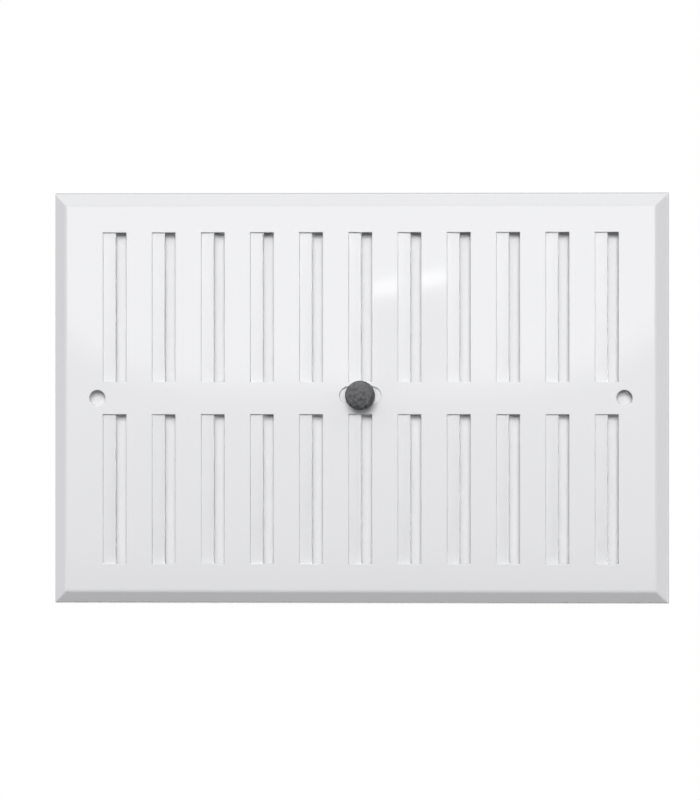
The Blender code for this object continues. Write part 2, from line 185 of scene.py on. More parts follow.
# Camera: long lens, a little to the right of the plate's normal
VIEW_YAW = math.radians(3.0)
VIEW_DISTANCE = 2.6
FRAME_HEIGHT = 0.2982
SENSOR = 36.0
AIM = Vector((-0.00435, 0.0, -0.0007))

# Light: a key sun from above and a little to the left, a rear sun, and the levels of the dim studio
SUN_ELEVATION = math.radians(17.0)
SUN_YAW = math.radians(-2.5)
SUN_STRENGTH = 2.38
SUN_ANGLE = math.radians(22.0)
REAR_SUN = Vector((0.75, 0.63, 0.19))
REAR_SUN_STRENGTH = 2.6
REAR_SUN_ANGLE = math.radians(20.0)
SKY_COLOUR = (0.99, 0.993, 1.0, 1.0)
SKY_LEVEL = 0.13
SKY_SLOPE = 0.35
SIDE_LEVEL = 0.27
REAR_LEVEL = 0.45
REAR_START = -0.05
REAR_END = 0.35
REAR_BASE = 0.78
REAR_SLOPE = 0.4

FLOOR_Z = -0.5
FLOOR_SIZE = (12.0, 12.0)

# The shutter lies in the plate's shade, and has a lower sun of its own, so its shadow lines stay thin
INNER_SUN_ELEVATION = math.radians(11.0)
INNER_SUN_YAW = math.radians(2.0)
INNER_SUN_STRENGTH = 2.30
INNER_SUN_ANGLE = math.radians(18.0)

# The white card behind the slots. It is darker than it looks and has a sun of its own, so little of the light
# from behind reaches it.
CARD_WHITE = (0.259, 0.259, 0.264)
# Painted shade: the card's lower part is coloured darker, between these two heights, in place of light that
# dims downwards
CARD_PAINTED_SHADE_SHARE = 0.94
CARD_PAINTED_SHADE_START = -0.03
CARD_PAINTED_SHADE_END = 0.02
CARD_SIZE = (0.218, 0.142)
CARD_INSET = 0.0015
CARD_SUN_STRENGTH = 6.5
CARD_SUN_ELEVATION = math.radians(11.0)
CARD_SUN_YAW = math.radians(3.6)
CARD_SUN_ANGLE = math.radians(14.0)

# The panel that the gloss of the face reflects. Its places are metres on the plate, from the plate's middle.
# A region is (low, high, softness) across and then up.
PANEL_DISTANCE = 0.30
PANEL_SIZE = (0.46, 0.40)
PANEL_REGION = ((-0.20, 0.20, 0.03), (-0.17, 0.17, 0.03))
LOWER_GLOW = 1.15
LOWER_START = -0.078
LOWER_END = -0.045
RISE_SLOPE = 18.0
RISE_LIMIT = 0.95
UPPER_GLOW = 1.9
UPPER_START = -0.006
UPPER_END = 0.013
BOW_HALF_WIDTH = 0.105
BOW_POWER = 4.0
BOW_LIMIT = 2.0
BOW_DROP = 0.016
SLANT = 0.18
DARK_REGION = ((0.004, 0.034, 0.003), (0.003, 0.034, 0.004))
DARK_LEVEL = -1.4
STRIP_REGION = ((0.0035, 0.0330, 0.0007), (0.0368, 0.0424, 0.0006))
STRIP_LEVEL = 3.2


# ---------------------------------------------------------------- materials

def add_node(tree, kind, **values):
    """A shader node with its input sockets set by name."""
    node = tree.nodes.new(kind)
    for name, value in values.items():
        node.inputs[name.replace("_", " ")].default_value = value
    return node


def plain_material(name, colour, roughness, metallic=0.0):
    """A Principled material, with object coordinates ready for its texture nodes."""
    material = bpy.data.materials.new(name)
    material.use_nodes = True
    tree = material.node_tree
    shader = tree.nodes["Principled BSDF"]
    shader.inputs["Base Color"].default_value = (*colour, 1.0)
    shader.inputs["Roughness"].default_value = roughness
    shader.inputs["Metallic"].default_value = metallic
    place = tree.nodes.new("ShaderNodeTexCoord").outputs["Object"]
    return material, tree, shader, place


def stretched(tree, place, scale):
    mapping = tree.nodes.new("ShaderNodeMapping")
    mapping.inputs["Scale"].default_value = scale
    tree.links.new(place, mapping.inputs["Vector"])
    return mapping.outputs["Vector"]


def noise(tree, place, scale, detail=3.0, rough=0.5):
    node = add_node(tree, "ShaderNodeTexNoise", Scale=scale, Detail=detail, Roughness=rough)
    tree.links.new(place, node.inputs["Vector"])
    return node.outputs["Fac"]


def spread(tree, value, low, high, from_low=0.3, from_high=0.7):
    """Map a texture value to a range of numbers."""
    node = add_node(tree, "ShaderNodeMapRange", From_Min=from_low, From_Max=from_high,
                    To_Min=low, To_Max=high)
    tree.links.new(value, node.inputs["Value"])
    return node.outputs["Result"]


def tint(tree, value, dark, light, from_low=0.3, from_high=0.7):
    """Map a texture value to a blend of two colours."""
    factor = spread(tree, value, 0.0, 1.0, from_low, from_high)
    node = tree.nodes.new("ShaderNodeMix")
    node.data_type = "RGBA"
    node.inputs["A"].default_value = (*dark, 1.0)
    node.inputs["B"].default_value = (*light, 1.0)
    tree.links.new(factor, node.inputs["Factor"])
    return node.outputs["Result"]


def bumps(tree, shader, layers):
    """Chain bump nodes: each layer is (height, distance in metres, strength)."""
    normal = None
    for height, distance, strength in layers:
        node = add_node(tree, "ShaderNodeBump", Distance=distance, Strength=strength)
        tree.links.new(height, node.inputs["Height"])
        if normal is not None:
            tree.links.new(normal, node.inputs["Normal"])
        normal = node.outputs["Normal"]
    tree.links.new(normal, shader.inputs["Normal"])


def calculate(tree, operation, *values):
    """A maths node, whose values are sockets or numbers."""
    node = tree.nodes.new("ShaderNodeMath")
    node.operation = operation
    for socket, value in zip(node.inputs, values):
        if isinstance(value, (int, float)):
            socket.default_value = value
        else:
            tree.links.new(value, socket)
    return node.outputs[0]


def soft_step(tree, value, start, end):
    """0 before start, 1 after end, smooth between. With start above end it falls instead."""
    low, high = (0.0, 1.0) if start < end else (1.0, 0.0)
    node = add_node(tree, "ShaderNodeMapRange", From_Min=min(start, end), From_Max=max(start, end),
                    To_Min=low, To_Max=high)
    node.interpolation_type = "SMOOTHSTEP"
    tree.links.new(value, node.inputs["Value"])
    return node.outputs["Result"]


def parts_of(tree, vector):
    """The three parts of a vector socket."""
    split = tree.nodes.new("ShaderNodeSeparateXYZ")
    tree.links.new(vector, split.inputs[0])
    return split.outputs["X"], split.outputs["Y"], split.outputs["Z"]


def blend_shaders(tree, factor, first, second, output):
    """Mix two shaders into the output: the first where the factor is 0, the second where it is 1."""
    mix = tree.nodes.new("ShaderNodeMixShader")
    for socket, value in zip(mix.inputs, (factor, first, second)):
        tree.links.new(value, socket)
    tree.links.new(mix.outputs[0], output.inputs["Surface"])


def moulded_white(name, colour, roughness, peel):
    """White injection-moulded plastic: faint tone drift, uneven gloss and a trace of orange peel."""
    material, tree, shader, place = plain_material(name, colour, roughness[0])
    darker = [channel * 0.985 for channel in colour]
    drift = noise(tree, place, scale=9.0, detail=2.0)
    tree.links.new(tint(tree, drift, darker, colour), shader.inputs["Base Color"])
    cloud = noise(tree, place, scale=55.0, detail=4.0, rough=0.6)
    tree.links.new(spread(tree, cloud, *roughness), shader.inputs["Roughness"])
    bumps(tree, shader, [(noise(tree, place, scale=260.0, detail=2.0), 0.00002, peel),
                         (noise(tree, place, scale=2600.0, detail=2.0), 0.000004, peel)])
    shader.inputs["IOR"].default_value = 1.49
    return material


def eroded_grey_with_painted_light(name):
    """Dark grey plastic with the mottled grain of a spark-eroded mould; its top is painted paler, as painted
    light from above.
    """
    material, tree, shader, place = plain_material(name, KNOB_GREY, roughness=0.6)
    blotch = noise(tree, place, scale=800.0, detail=3.0, rough=0.6)
    up = parts_of(tree, place)[2]
    # Painted light: the tone rises with height, so the knob's top reads as lit from above
    blotch_and_painted_light = calculate(tree, "MULTIPLY_ADD", up, KNOB_PAINTED_LIGHT_FADE, blotch)
    colour = tint(tree, blotch_and_painted_light, KNOB_DARK, KNOB_PALE, from_low=0.25, from_high=0.75)
    tree.links.new(colour, shader.inputs["Base Color"])
    tree.links.new(spread(tree, blotch, low=0.78, high=0.62), shader.inputs["Roughness"])
    grain = noise(tree, place, scale=3800.0, detail=3.0, rough=0.65)
    bumps(tree, shader, [(blotch, 0.00012, 0.5), (grain, 0.00004, 0.6)])
    shader.inputs["Specular IOR Level"].default_value = 0.15
    return material


def zinc_plate(name, along):
    """Bright zinc plating: rolled or turned grain along one axis, a faint blue and straw cast."""
    material, tree, shader, place = plain_material(name, (0.62, 0.63, 0.65), roughness=0.3, metallic=1.0)
    grain = noise(tree, stretched(tree, place, along), scale=1.0, detail=4.0, rough=0.6)
    cast = noise(tree, place, scale=60.0, detail=2.0)
    colour = tint(tree, cast, dark=(0.58, 0.60, 0.64), light=(0.68, 0.67, 0.63))
    tree.links.new(colour, shader.inputs["Base Color"])
    tree.links.new(spread(tree, grain, low=0.24, high=0.42), shader.inputs["Roughness"])
    bumps(tree, shader, [(grain, 0.00001, 0.35)])
    return material


def turned_brass(name):
    """Brass with fine rings from the lathe round its Y axis."""
    material, tree, shader, place = plain_material(name, (0.75, 0.55, 0.25), roughness=0.3, metallic=1.0)
    rings = noise(tree, stretched(tree, place, (300.0, 5000.0, 300.0)), scale=1.0, detail=3.0)
    colour = tint(tree, rings, dark=(0.62, 0.43, 0.18), light=(0.80, 0.60, 0.30))
    tree.links.new(colour, shader.inputs["Base Color"])
    tree.links.new(spread(tree, rings, low=0.25, high=0.4), shader.inputs["Roughness"])
    return material


def natural_nylon(name):
    """Off-white nylon that light enters a little."""
    material, tree, shader, place = plain_material(name, (0.78, 0.76, 0.69), roughness=0.42)
    cloud = noise(tree, place, scale=400.0, detail=3.0)
    colour = tint(tree, cloud, dark=(0.70, 0.68, 0.60), light=(0.82, 0.80, 0.73))
    tree.links.new(colour, shader.inputs["Base Color"])
    tree.links.new(spread(tree, cloud, low=0.36, high=0.5), shader.inputs["Roughness"])
    shader.inputs["Subsurface Weight"].default_value = 0.2
    shader.inputs["Subsurface Radius"].default_value = (0.0008, 0.0007, 0.0005)
    return material


# ---------------------------------------------------------------- mesh helpers

def link(obj):
    bpy.context.scene.collection.objects.link(obj)
    return obj


def mesh_from(bm, name):
    mesh = bpy.data.meshes.new(name)
    bm.to_mesh(mesh)
    bm.free()
    return mesh


def apply_modifiers(obj):
    """Replace an object's mesh with its evaluated mesh, and drop the modifiers."""
    bpy.context.view_layer.update()
    graph = bpy.context.evaluated_depsgraph_get()
    evaluated = obj.evaluated_get(graph)
    mesh = bpy.data.meshes.new_from_object(evaluated, preserve_all_data_layers=True, depsgraph=graph)
    obj.modifiers.clear()
    obj.data = mesh


def combine(obj, tool_mesh, operation="DIFFERENCE"):
    """Apply one exact Boolean to an object."""
    tool = link(bpy.data.objects.new("tool", tool_mesh))
    modifier = obj.modifiers.new("boolean", "BOOLEAN")
    modifier.operation = operation
    modifier.solver = "EXACT"
    modifier.object = tool
    apply_modifiers(obj)
    bpy.data.objects.remove(tool, do_unlink=True)


def round_edges(obj, width, segments=3, angle=None):
    """Round an object's edges by their bevel weights, or all edges sharper than an angle."""
    bevel = obj.modifiers.new("round_edges", "BEVEL")
    bevel.width = width
    bevel.segments = segments
    bevel.limit_method = "WEIGHT" if angle is None else "ANGLE"
    if angle is not None:
        bevel.angle_limit = angle
    bevel.use_clamp_overlap = False
    apply_modifiers(obj)


def as_piece(obj, material, slot, body, *nodes):
    """Give an object its finish, keep its flat faces flat in shading, and stand it for CAD nodes."""
    mesh = obj.data
    mesh.shade_smooth()
    mesh.materials.clear()
    mesh.materials.append(material)
    shading = obj.modifiers.new("flat_faces", "WEIGHTED_NORMAL")
    shading.weight = 100
    shading.keep_sharp = True
    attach(obj, body)
    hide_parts(*nodes)
    return obj


def add_block(bm, low, high):
    """Add a box to bm between two corners and return its vertices."""
    low = Vector(low)
    high = Vector(high)
    place = Matrix.Translation((low + high) / 2.0) @ Matrix.Diagonal((*(high - low), 1.0))
    return bmesh.ops.create_cube(bm, size=1.0, matrix=place)["verts"]


def axis_place(node, inset=0.0):
    """A point on a node's axis along Y, a distance in front of its back face."""
    low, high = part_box(node)
    return Vector(((low.x + high.x) / 2.0, high.y - inset, (low.z + high.z) / 2.0))


def slot_centres():
    for row in (-0.5, 0.5):
        for column in range(SLOT_COUNT):
            yield (column - (SLOT_COUNT - 1) / 2.0) * SLOT_PITCH, row * ROW_PITCH


def openings(width, height, shift=0.0):
    """Slot openings as (left, right, bottom, top)."""
    return [(x + shift - width / 2.0, x + shift + width / 2.0, z - height / 2.0, z + height / 2.0)
            for x, z in slot_centres()]


def sheet_with_openings(half_width, half_height, y, boxes):
    """A flat sheet of quads that faces -Y, with the boxes left open."""
    columns = sorted({-half_width, half_width} | {edge for box in boxes for edge in box[:2]})
    rows = sorted({-half_height, half_height} | {edge for box in boxes for edge in box[2:]})
    bm = bmesh.new()
    verts = {}
    for i, (left, right) in enumerate(zip(columns, columns[1:])):
        for j, (bottom, top) in enumerate(zip(rows, rows[1:])):
            x = (left + right) / 2.0
            z = (bottom + top) / 2.0
            if any(box[0] < x < box[1] and box[2] < z < box[3] for box in boxes):
                continue
            corners = [(i, j), (i + 1, j), (i + 1, j + 1), (i, j + 1)]
            for corner in corners:
                if corner not in verts:
                    verts[corner] = bm.verts.new((columns[corner[0]], y, rows[corner[1]]))
            bm.faces.new([verts[corner] for corner in corners])
    return bm


def add_skirt(bm, half_width, half_height, levels):
    """Carry the sheet's outer border back in steps, each given as (spread beyond the sheet, y)."""
    def on_border(edge):
        return (all(abs(abs(vert.co.x) - half_width) < MERGE for vert in edge.verts)
                or all(abs(abs(vert.co.z) - half_height) < MERGE for vert in edge.verts))
    border = [edge for edge in bm.edges if edge.is_boundary and on_border(edge)]
    before = 0.0
    for after, y in levels:
        made = bmesh.ops.extrude_edge_only(bm, edges=border)["geom"]
        verts = {item for item in made if isinstance(item, bmesh.types.BMVert)}
        border = [item for item in made if isinstance(item, bmesh.types.BMEdge) and set(item.verts) <= verts]
        for vert in verts:
            if abs(abs(vert.co.x) - half_width - before) < MERGE:
                vert.co.x = math.copysign(half_width + after, vert.co.x)
            if abs(abs(vert.co.z) - half_height - before) < MERGE:
                vert.co.z = math.copysign(half_height + after, vert.co.z)
            vert.co.y = y
        before = after


def thickened(name, bm, thickness):
    """An object with an open sheet made solid towards +Y, its mesh ready in a new bmesh."""
    bmesh.ops.recalc_face_normals(bm, faces=bm.faces)
    front = min(bm.faces, key=lambda face: face.calc_center_median().y)
    if front.normal.y > 0.0:
        bmesh.ops.reverse_faces(bm, faces=bm.faces)
    obj = link(bpy.data.objects.new(name, mesh_from(bm, name)))
    shell = obj.modifiers.new("sheet", "SOLIDIFY")
    shell.thickness = thickness
    shell.offset = -1.0
    shell.use_even_offset = True
    apply_modifiers(obj)
    solid = bmesh.new()
    solid.from_mesh(obj.data)
    return obj, solid


def set_rounding(obj, bm, share):
    """Store how far each edge is rounded, as share(edge)."""
    weights = bm.edges.layers.float.new("bevel_weight_edge")
    for edge in bm.edges:
        turned = len(edge.link_faces) == 2 and edge.calc_face_angle(0.0) > MIN_ROUND_ANGLE
        edge[weights] = share(edge) if turned else 0.0
    bm.to_mesh(obj.data)
    bm.free()


def round_outline(half_straight, radius, steps):
    """Outline of a slot with round ends, or of a circle, as (x, z) points."""
    points = []
    for side, start in ((1.0, -90.0), (-1.0, 90.0)):
        for step in range(steps + 1 if half_straight else steps):
            angle = math.radians(start + 180.0 * step / steps)
            points.append((side * half_straight + radius * math.cos(angle), radius * math.sin(angle)))
    return points


def add_flared_cutter(bm, x, z, radius, front, back, half_straight=0.0, front_flare=RIM_FLARE, back_flare=0.0,
                      overshoot=CUTTER_OVERSHOOT, steps=32, arc_steps=5):
    """Add a cutter along Y whose ends widen in a quarter arc, which leaves rounded rims."""
    levels = [(front_flare, front - overshoot)]
    for step in range(arc_steps + 1):
        angle = math.radians(90.0 - 90.0 * step / arc_steps)
        levels.append((front_flare * (1.0 - math.cos(angle)),
                       front - MERGE + front_flare * (1.0 - math.sin(angle))))
    if back_flare:
        for step in range(arc_steps + 1):
            angle = math.radians(90.0 * step / arc_steps)
            levels.append((back_flare * (1.0 - math.cos(angle)),
                           back + MERGE - back_flare * (1.0 - math.sin(angle))))
    levels.append((back_flare, back + overshoot))
    loops = []
    for grow, y in levels:
        outline = round_outline(half_straight, radius + grow, steps)
        loops.append([bm.verts.new((x + dx, y, z + dz)) for dx, dz in outline])
    for first, second in zip(loops, loops[1:]):
        for i in range(len(first)):
            bm.faces.new((first[i - 1], first[i], second[i], second[i - 1]))
    bm.faces.new(loops[0])
    bm.faces.new(loops[-1])


def cutter_mesh(bm):
    bmesh.ops.remove_doubles(bm, verts=bm.verts, dist=MERGE / 10.0)
    bmesh.ops.recalc_face_normals(bm, faces=bm.faces)
    return mesh_from(bm, "cutter")


def arc(centre_r, centre_h, radius, start, end, steps):
    """Points of an arc in a turned profile, as (radius, height)."""
    points = []
    for step in range(steps + 1):
        angle = math.radians(start + (end - start) * step / steps)
        points.append((centre_r + radius * math.cos(angle), centre_h + radius * math.sin(angle)))
    return points


def turned(name, profile, steps=96, ring=False):
    """Turn a profile of (radius, height) about the -Y axis into an object."""
    bm = bmesh.new()
    loops = []
    for radius, height in profile:
        count = steps if radius > MERGE else 1
        angles = [math.tau * step / count for step in range(count)]
        loops.append([bm.verts.new((radius * math.cos(a), -height, radius * math.sin(a))) for a in angles])
    pairs = list(zip(loops, loops[1:]))
    if ring:
        pairs.append((loops[-1], loops[0]))
    for first, second in pairs:
        for i in range(steps):
            corners = [first[i % len(first)], first[(i + 1) % len(first)],
                       second[(i + 1) % len(second)], second[i % len(second)]]
            corners = list(dict.fromkeys(corners))
            if len(corners) > 2:
                bm.faces.new(corners)
    bmesh.ops.recalc_face_normals(bm, faces=bm.faces)
    return link(bpy.data.objects.new(name, mesh_from(bm, name)))


# ---------------------------------------------------------------- face plate

def face_kind(face):
    level = abs(face.normal.y)
    if level > 0.95:
        return "flat"
    return "slope" if level > 0.3 else "wall"


def plate_share(edge):
    """Outer edges take their full share, edges on the back and inside take a small one."""
    kinds = tuple(sorted(face_kind(face) for face in edge.link_faces))
    middle = (edge.verts[0].co + edge.verts[1].co) / 2.0
    if kinds in (("flat", "slope"), ("flat", "wall")) and middle.y > FACE_Y + SHEET / 2.0:
        return HIDDEN_SHARE
    return ROUND_SHARES.get(kinds, HIDDEN_SHARE)


def seats_and_gussets():
    """The long seats that the rails are screwed to, and the stiffeners outside them."""
    bm = bmesh.new()
    sheet_back = FACE_Y + SHEET
    buried = sheet_back - SHUTTER_CLEARANCE
    for side in (1.0, -1.0):
        z_near, z_far = sorted((side * SEAT_INNER_Z, side * SEAT_OUTER_Z))
        add_block(bm, (-SEAT_HALF_LENGTH, buried, z_near), (SEAT_HALF_LENGTH, SHUTTER_BACK, z_far))
    edges = [edge for edge in bm.edges if any(vert.co.y > sheet_back for vert in edge.verts)]
    bmesh.ops.bevel(bm, geom=edges, offset=SEAT_ROUND, segments=3, affect="EDGES", profile=0.5)
    for side in (1.0, -1.0):
        for number in range(-GUSSETS_EACH_WAY, GUSSETS_EACH_WAY + 1):
            x = number * GUSSET_SPACING
            z_near, z_far = sorted((side * GUSSET_INNER_Z, side * GUSSET_OUTER_Z))
            verts = add_block(bm, (x - GUSSET_THICKNESS / 2.0, buried, z_near),
                              (x + GUSSET_THICKNESS / 2.0, GUSSET_BACK, z_far))
            outer = [vert for vert in verts
                     if abs(vert.co.z) > GUSSET_OUTER_Z - MERGE and vert.co.y < sheet_back]
            corner = [edge for edge in outer[0].link_edges if edge.other_vert(outer[0]) in outer]
            bmesh.ops.bevel(bm, geom=corner, offset=EDGE_BEVEL, segments=1, affect="EDGES")
    return cutter_mesh(bm)


def plate_holes():
    """The fixing holes, the knob's guide slot and the blind holes for the rail screws."""
    bm = bmesh.new()
    back = FACE_Y + SHEET
    for side in (-1.0, 1.0):
        add_flared_cutter(bm, side * FIXING_SPACING / 2.0, 0.0, FIXING_RADIUS, FACE_Y, back,
                          back_flare=HOLE_BACK_FLARE)
    add_flared_cutter(bm, 0.0, KNOB_Z, GUIDE_SLOT_HALF_HEIGHT, FACE_Y, back,
                      half_straight=GUIDE_SLOT_HALF_STRAIGHT, back_flare=HOLE_BACK_FLARE)
    for number in range(1, RAIL_SCREWS + 1):
        centre = axis_place(f"rail_screw_{number}")
        add_flared_cutter(bm, centre.x, centre.z, RAIL_SCREW_HOLE, FACE_Y + PILOT_SKIN + CUTTER_OVERSHOOT,
                          SHUTTER_BACK, front_flare=0.0, back_flare=PILOT_HOLE_FLARE, steps=12, arc_steps=3)
    return cutter_mesh(bm)


def make_face_plate(material):
    inset = (WALL_Y - FACE_Y) * math.tan(WALL_DRAFT) + EDGE_BEVEL
    half_width = PLATE_HIGH.x - inset
    half_height = PLATE_HIGH.z - inset
    bm = sheet_with_openings(half_width, half_height, FACE_Y, openings(SLOT_WIDTH, SLOT_HEIGHT))
    chamfer_spread = EDGE_BEVEL * (1.0 + math.sin(WALL_DRAFT))
    add_skirt(bm, half_width, half_height,
              [(chamfer_spread, FACE_Y + EDGE_BEVEL * math.cos(WALL_DRAFT)), (inset, WALL_Y)])
    plate, solid = thickened("face_plate_skin", bm, SHEET)
    for vert in solid.verts:
        if vert.co.y > WALL_Y - SHEET / 4.0:
            vert.co.y = WALL_Y
    solid.normal_update()
    set_rounding(plate, solid, plate_share)
    round_edges(plate, EDGE_WIDTH, segments=5)
    combine(plate, seats_and_gussets(), "UNION")
    combine(plate, plate_holes())
    as_piece(plate, material, "gloss_white_plastic", "grille_body", "face_plate")


# ---------------------------------------------------------------- shutter

def shutter_holes():
    """The knob bush's hole, the end notches and the shallow ejector marks on the back."""
    bm = bmesh.new()
    bush_radius = (BUSH_HIGH.x - BUSH_LOW.x) / 2.0 + SHUTTER_CLEARANCE
    rims = {"front_flare": SHUTTER_HOLE_FLARE, "back_flare": SHUTTER_HOLE_FLARE}
    add_flared_cutter(bm, 0.0, KNOB_Z, bush_radius, SHUTTER_FRONT, SHUTTER_BACK, **rims)
    reach = SHUTTER_HIGH.x + NOTCH_RADIUS - NOTCH_START
    for side in (-1.0, 1.0):
        middle = side * (NOTCH_START + NOTCH_RADIUS + reach / 2.0)
        add_flared_cutter(bm, middle, 0.0, NOTCH_RADIUS, SHUTTER_FRONT, SHUTTER_BACK,
                          half_straight=reach / 2.0, **rims)
    shift = SHUTTER_SHIFT + SLOT_PITCH / 2.0
    overshoot = EJECTOR_DEPTH / 8.0
    front = SHUTTER_BACK - EJECTOR_DEPTH + overshoot
    for x, z in slot_centres():
        if x < SLOT_PITCH * (SLOT_COUNT - 2) / 2.0:
            add_flared_cutter(bm, x + shift, z, EJECTOR_RADIUS, front, SHUTTER_BACK, front_flare=0.0,
                              back_flare=EJECTOR_FLARE, overshoot=overshoot, steps=20, arc_steps=2)
    return cutter_mesh(bm)


def make_shutter(material):
    boxes = openings(SHUTTER_SLOT_WIDTH, SLOT_HEIGHT + 2.0 * SHUTTER_SLOT_EXTRA, SHUTTER_SHIFT)
    bm = sheet_with_openings(SHUTTER_HIGH.x, SHUTTER_HIGH.z, SHUTTER_FRONT, boxes)
    shutter, solid = thickened("shutter_skin", bm, SHUTTER_SHEET)
    corners = [edge for edge in solid.edges
               if all(abs(vert.co.x) > SHUTTER_HIGH.x - MERGE and abs(vert.co.z) > SHUTTER_HIGH.z - MERGE
                      for vert in edge.verts)]
    bmesh.ops.bevel(solid, geom=corners, offset=SHUTTER_CORNER, segments=6, affect="EDGES", profile=0.5)
    solid.normal_update()

    def share(edge):
        middle = (edge.verts[0].co.y + edge.verts[1].co.y) / 2.0
        return 1.0 if middle < SHUTTER_FRONT + MERGE else SHUTTER_OTHER_ROUND / SHUTTER_FRONT_ROUND
    set_rounding(shutter, solid, share)
    round_edges(shutter, SHUTTER_FRONT_ROUND, segments=4)
    combine(shutter, shutter_holes())
    return as_piece(shutter, material, "satin_white_plastic", "shutter", "shutter_plate")


# ---------------------------------------------------------------- rails and screws

def make_rail(node, material):
    low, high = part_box(node)
    bm = bmesh.new()
    add_block(bm, low, high)
    corners = [edge for edge in bm.edges if abs(edge.verts[0].co.y - edge.verts[1].co.y) > MERGE]
    bmesh.ops.bevel(bm, geom=corners, offset=RAIL_CORNER, segments=8, affect="EDGES", profile=0.5)
    rail = link(bpy.data.objects.new(node + "_strap", mesh_from(bm, node + "_strap")))
    round_edges(rail, RAIL_EDGE_ROUND, angle=math.radians(60.0))
    holes = bmesh.new()
    for number in range(1, RAIL_SCREWS + 1):
        centre = axis_place(f"rail_screw_{number}")
        if low.z < centre.z < high.z:
            add_flared_cutter(holes, centre.x, centre.z, RAIL_SCREW_HOLE, low.y, high.y,
                              front_flare=RAIL_HOLE_FLARE, back_flare=RAIL_HOLE_FLARE, steps=20, arc_steps=3)
    combine(rail, cutter_mesh(holes))
    as_piece(rail, material, "zinc_plated_steel", "grille_body", node)


def recess_bar(span, width, depth, top):
    """One bar of a cross recess, for a screw head whose top is at Y = top. It narrows towards its floor."""
    bm = bmesh.new()
    verts = add_block(bm, (-span / 2.0, top - depth, -width / 2.0), (span / 2.0, top + depth, width / 2.0))
    for vert in verts:
        span_share, width_share = (0.62, 0.8) if vert.co.y < top else (1.38, 1.2)
        vert.co.x *= span_share
        vert.co.z *= width_share
    return bm


def screw_blank(name, shank, reach, head, head_height, recess_span, recess_width, pitch):
    """Pan head screw: the head's underside is at Y = 0, its top at +Y and its ringed shank along -Y."""
    radius = shank / 2.0
    crest = radius - THREAD_CREST
    root = radius - THREAD_DEPTH_SHARE * pitch
    height = reach - radius * TIP_LENGTH_SHARE
    profile = [(0.0, reach), (radius * TIP_RADIUS_SHARE, reach), (root, height)]
    while height - pitch > pitch:
        profile += [(crest, height - 0.45 * pitch), (crest, height - 0.55 * pitch), (root, height - pitch)]
        height -= pitch
    profile += [(root, THREAD_RUNOUT), (radius, 0.0), (head / 2.0 - HEAD_EDGE, 0.0), (head / 2.0, -HEAD_EDGE)]
    shoulder = head_height * HEAD_SHOULDER_SHARE
    crown = head_height - shoulder
    steps = 10
    for step in range(steps + 1):
        angle = math.radians(90.0 * step / steps)
        inset = (1.0 - math.cos(angle)) * crown * HEAD_ROUND_SHARE
        profile.append((head / 2.0 - inset, -shoulder - (crown - DOME_EDGE_DROP) * math.sin(angle)))
    profile += [(0.25 * head, -head_height + DOME_MIDWAY_DROP), (0.0, -head_height)]
    screw = turned(name, profile, steps=48)
    for turn in (0.0, 90.0):
        bar = recess_bar(recess_span, recess_width, head_height * RECESS_DEPTH_SHARE, head_height)
        bmesh.ops.rotate(bar, verts=bar.verts, cent=(0.0, 0.0, 0.0),
                         matrix=Matrix.Rotation(math.radians(turn), 3, "Y"))
        combine(screw, cutter_mesh(bar))
    screw.data.set_sharp_from_angle(angle=SHARP_ANGLE)
    return screw


def make_rail_screws(material):
    """Ten copies of one screw, each turned to another angle."""
    low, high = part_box("rail_screw_1")
    head_height = 0.0013
    blank = screw_blank("rail_screw_blank", shank=0.0020, reach=high.y - low.y - head_height, head=0.0042,
                        head_height=head_height, recess_span=0.0022, recess_width=0.0005, pitch=0.0008)
    for number in range(1, RAIL_SCREWS + 1):
        node = f"rail_screw_{number}"
        mesh = blank.data.copy()
        turn = Matrix.Rotation(math.radians(RAIL_SCREW_TURN * number), 4, "Y")
        mesh.transform(Matrix.Translation(axis_place(node, head_height)) @ turn)
        screw = link(bpy.data.objects.new(node + "_pan_head", mesh))
        as_piece(screw, material, "zinc_plated_steel", "grille_body", node)
    bpy.data.objects.remove(blank, do_unlink=True)


# ---------------------------------------------------------------- knob and its stack

def place_on_axis(obj, node):
    """Move a turned form, made with its foot at Y = 0, to a node's axis and its back face."""
    obj.data.transform(Matrix.Translation(axis_place(node)))


def make_knob(material):
    """Turned knob: faintly crowned face, chamfered edge, a little draft, and a socket for the insert."""
    radius = (KNOB_HIGH.x - KNOB_LOW.x) / 2.0
    height = KNOB_HIGH.y - KNOB_LOW.y
    face_radius = radius - KNOB_DRAFT - KNOB_CHAMFER
    profile = [(face_radius * step / 8.0, height - KNOB_CROWN * (step / 8.0) ** 2) for step in range(9)]
    profile += [(radius - KNOB_DRAFT, height - KNOB_CROWN - KNOB_CHAMFER), (radius, KNOB_BASE),
                (radius - KNOB_BASE, 0.0), (KNOB_BORE, 0.0), (KNOB_BORE, KNOB_BORE_DEPTH),
                (0.0, KNOB_BORE_DEPTH)]
    knob = turned("knob_turned", profile)
    round_edges(knob, KNOB_EDGE_ROUND, angle=math.radians(25.0))
    place_on_axis(knob, "knob")
    as_piece(knob, material, "dark_grey_plastic", "shutter", "knob")


def make_ring(node, bore, chamfer, material, slot, wave=0.0):
    """A washer or a sleeve with rounded rims, from the node's own size. A wave bends it in three waves."""
    low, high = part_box(node)
    outer = (high.x - low.x) / 2.0
    thickness = high.y - low.y - 2.0 * wave
    profile = []
    for radius, height, start in ((outer, thickness, 90.0), (outer, 0.0, 0.0),
                                  (bore, 0.0, -90.0), (bore, thickness, -180.0)):
        centre_r = radius - chamfer if radius == outer else radius + chamfer
        centre_h = thickness - chamfer if height else chamfer
        profile += arc(centre_r, centre_h, chamfer, start, start - 90.0, 3)
    ring = turned(node + "_ring", profile, ring=True)
    for vert in ring.data.vertices:
        vert.co.y += wave * (math.cos(3.0 * math.atan2(vert.co.z, vert.co.x)) - 1.0)
    place_on_axis(ring, node)
    as_piece(ring, material, slot, "shutter", node)


